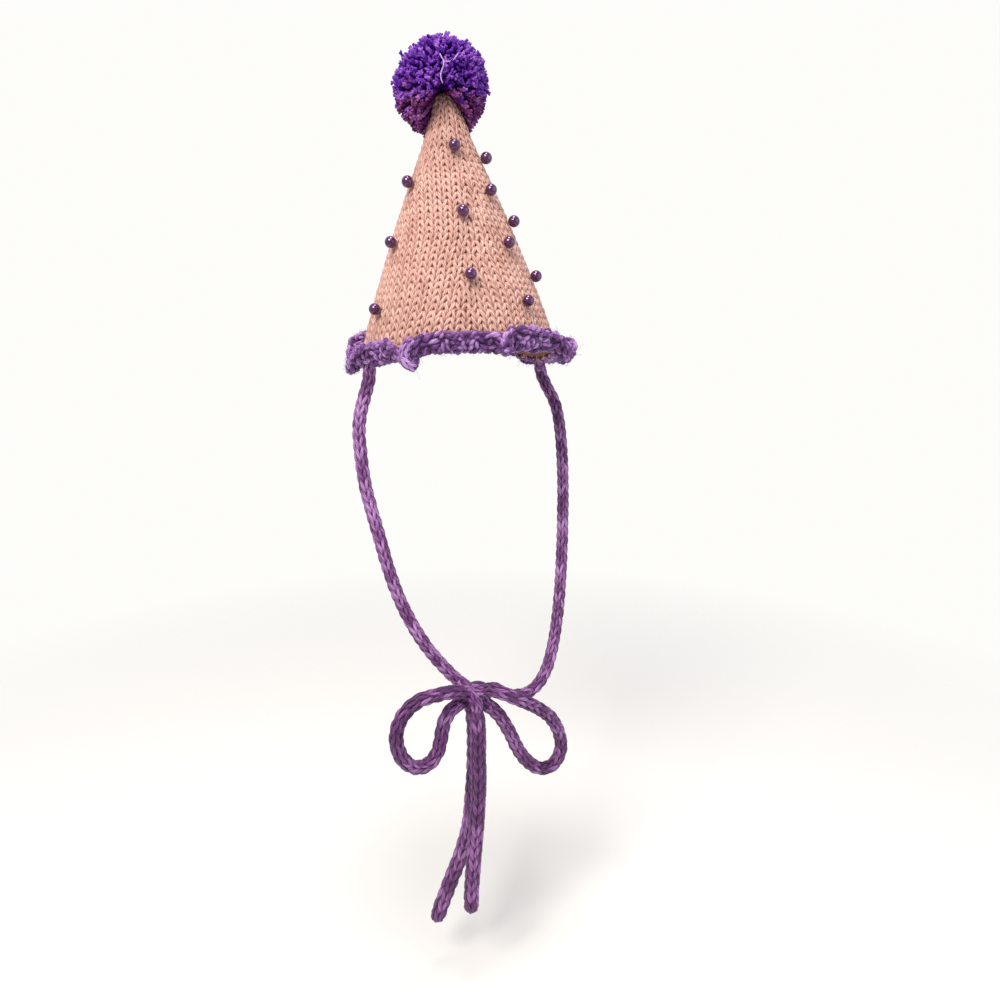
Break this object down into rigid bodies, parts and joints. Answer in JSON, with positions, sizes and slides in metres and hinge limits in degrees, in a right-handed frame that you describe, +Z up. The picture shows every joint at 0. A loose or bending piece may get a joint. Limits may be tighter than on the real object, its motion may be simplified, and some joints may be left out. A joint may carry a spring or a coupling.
{
  "type": "knit party hat",
  "caption": "Tall knitted cone hat with a yarn pompom, sewn-on round beads, a frilled rim and knitted ties in a bow under the chin.",
  "frame": {"origin": "centre of the rim, where the hat sits on a head", "axes": "+Z up along the crown, -Y the wearer's front, +X the wearer's left"},
  "size_m": [0.1364, 0.1246, 0.4806],
  "materials": {
    "pink_knit": "knitted peach-pink yarn",
    "purple_knit": "knitted purple yarn with a soft lustre",
    "violet_yarn": "cut ends of violet yarn",
    "pearl_bead": "dark plum pearl coating"
  },
  "bodies": {
    "root": {"crown": "pink_knit", "frill": "purple_knit", "pompom": "violet_yarn", "bead_01": "pearl_bead", "bead_02": "pearl_bead", "bead_03": "pearl_bead", "bead_04": "pearl_bead", "bead_05": "pearl_bead", "bead_06": "pearl_bead", "bead_07": "pearl_bead", "bead_08": "pearl_bead", "bead_09": "pearl_bead", "bead_10": "pearl_bead", "bead_11": "pearl_bead", "bead_12": "pearl_bead", "bead_13": "pearl_bead", "bead_14": "pearl_bead", "bead_15": "pearl_bead", "bead_16": "pearl_bead", "bead_17": "pearl_bead", "bead_18": "pearl_bead", "bead_19": "pearl_bead", "bead_20": "pearl_bead", "bead_21": "pearl_bead", "bead_22": "pearl_bead", "bead_23": "pearl_bead", "bead_24": "pearl_bead", "tie_strap_right": "purple_knit", "tie_strap_left": "purple_knit", "bow_knot": "purple_knit", "bow_loop_right": "purple_knit", "bow_loop_left": "purple_knit", "tie_tail_right": "purple_knit", "tie_tail_left": "purple_knit"}
  },
  "joints": []
}
